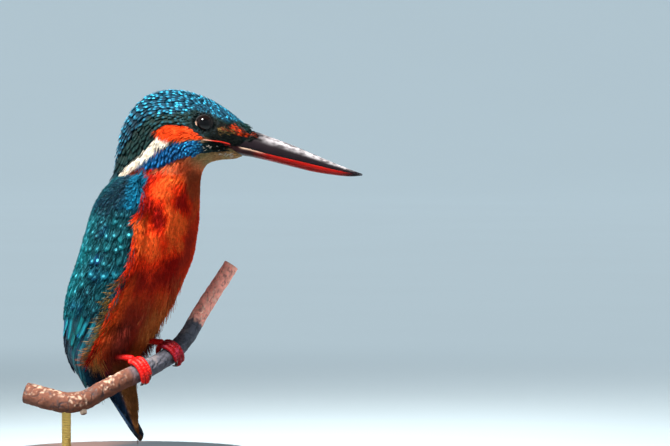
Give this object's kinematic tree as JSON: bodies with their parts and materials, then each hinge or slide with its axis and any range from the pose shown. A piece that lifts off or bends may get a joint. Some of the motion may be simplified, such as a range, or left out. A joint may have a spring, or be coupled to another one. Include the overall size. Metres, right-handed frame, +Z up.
{
  "type": "kingfisher model on a perch",
  "caption": "Life-size common kingfisher, a still display model with its head turned a little, gripping a cut branch that a rod holds above a round base.",
  "frame": {"origin": "centre of the underside of the round base", "axes": "+Z up from the table; +X the way the bird's breast faces; +Y the bird's left"},
  "size_m": [0.1184, 0.088, 0.1276],
  "materials": {
    "head_plumage": "small feathers with a satin sheen, blue-green with pale turquoise spots",
    "body_plumage": "soft matt small feathers, orange-red",
    "flight_feathers": "smooth feather vanes with a satin sheen, teal to dark blue",
    "bill_black": "smooth horn, half gloss",
    "bill_red": "smooth horn, half gloss, dark towards the tip",
    "eye": "wet gloss",
    "foot_skin": "scaled skin, slightly glossy",
    "claw": "polished horn",
    "bark": "thin speckled bark",
    "stand_brass": "brushed brass",
    "stand_walnut": "oiled walnut"
  },
  "bodies": {
    "root": {"head": "head_plumage", "neck": "head_plumage", "torso": "body_plumage", "rump": "body_plumage", "tail": "flight_feathers", "wing_right": "flight_feathers", "wing_left": "flight_feathers", "bill_upper": "bill_black", "bill_lower": "bill_red", "eye_right": "eye", "eye_left": "eye", "tarsus_right": "foot_skin", "tarsus_left": "foot_skin", "toes_front_right": "foot_skin", "toes_front_left": "foot_skin", "toe_hind_right": "foot_skin", "toe_hind_left": "foot_skin", "claw_inner_right": "claw", "claw_middle_right": "claw", "claw_outer_right": "claw", "claw_hind_right": "claw", "claw_inner_left": "claw", "claw_middle_left": "claw", "claw_outer_left": "claw", "claw_hind_left": "claw", "perch": "bark", "stand_rod": "stand_brass", "stand_base": "stand_walnut"}
  },
  "joints": []
}
